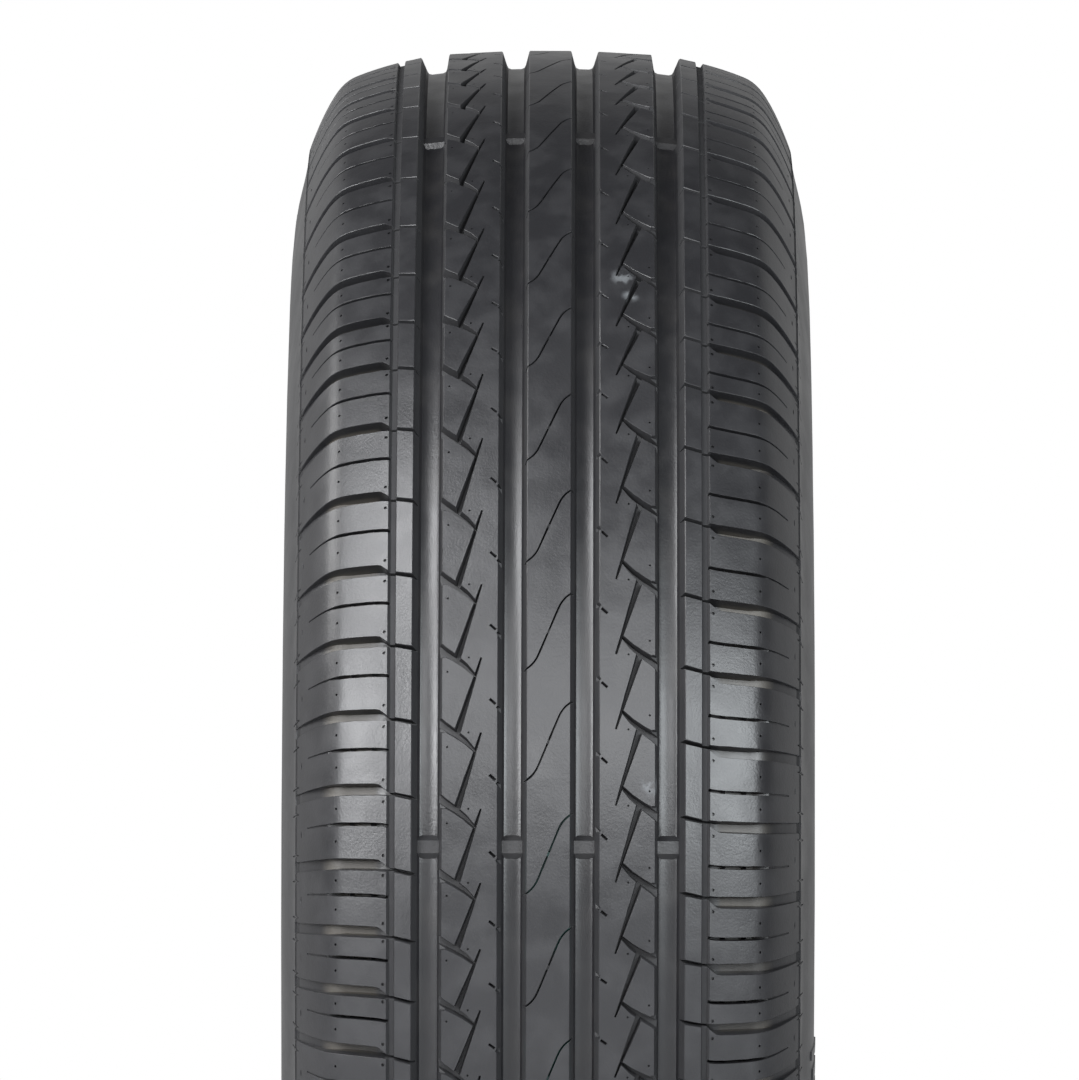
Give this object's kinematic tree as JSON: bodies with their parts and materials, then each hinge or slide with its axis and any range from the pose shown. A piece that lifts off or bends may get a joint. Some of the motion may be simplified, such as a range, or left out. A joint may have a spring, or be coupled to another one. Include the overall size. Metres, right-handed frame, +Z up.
{
  "type": "car tyre",
  "caption": "Radial car tyre with four main grooves, slotted shoulders, plain sidewalls and two bead seats for a drop-centre rim.",
  "frame": {"origin": "centre of the wheel, on the axle and midway between the beads", "axes": "+Y along the axle, +Z up, +X through the front of the tread"},
  "size_m": [0.635, 0.1986, 0.635],
  "materials": {
    "tyre": "matt moulded rubber, lightly dusted in the grooves"
  },
  "bodies": {
    "root": {"tyre": "tyre"}
  },
  "joints": []
}
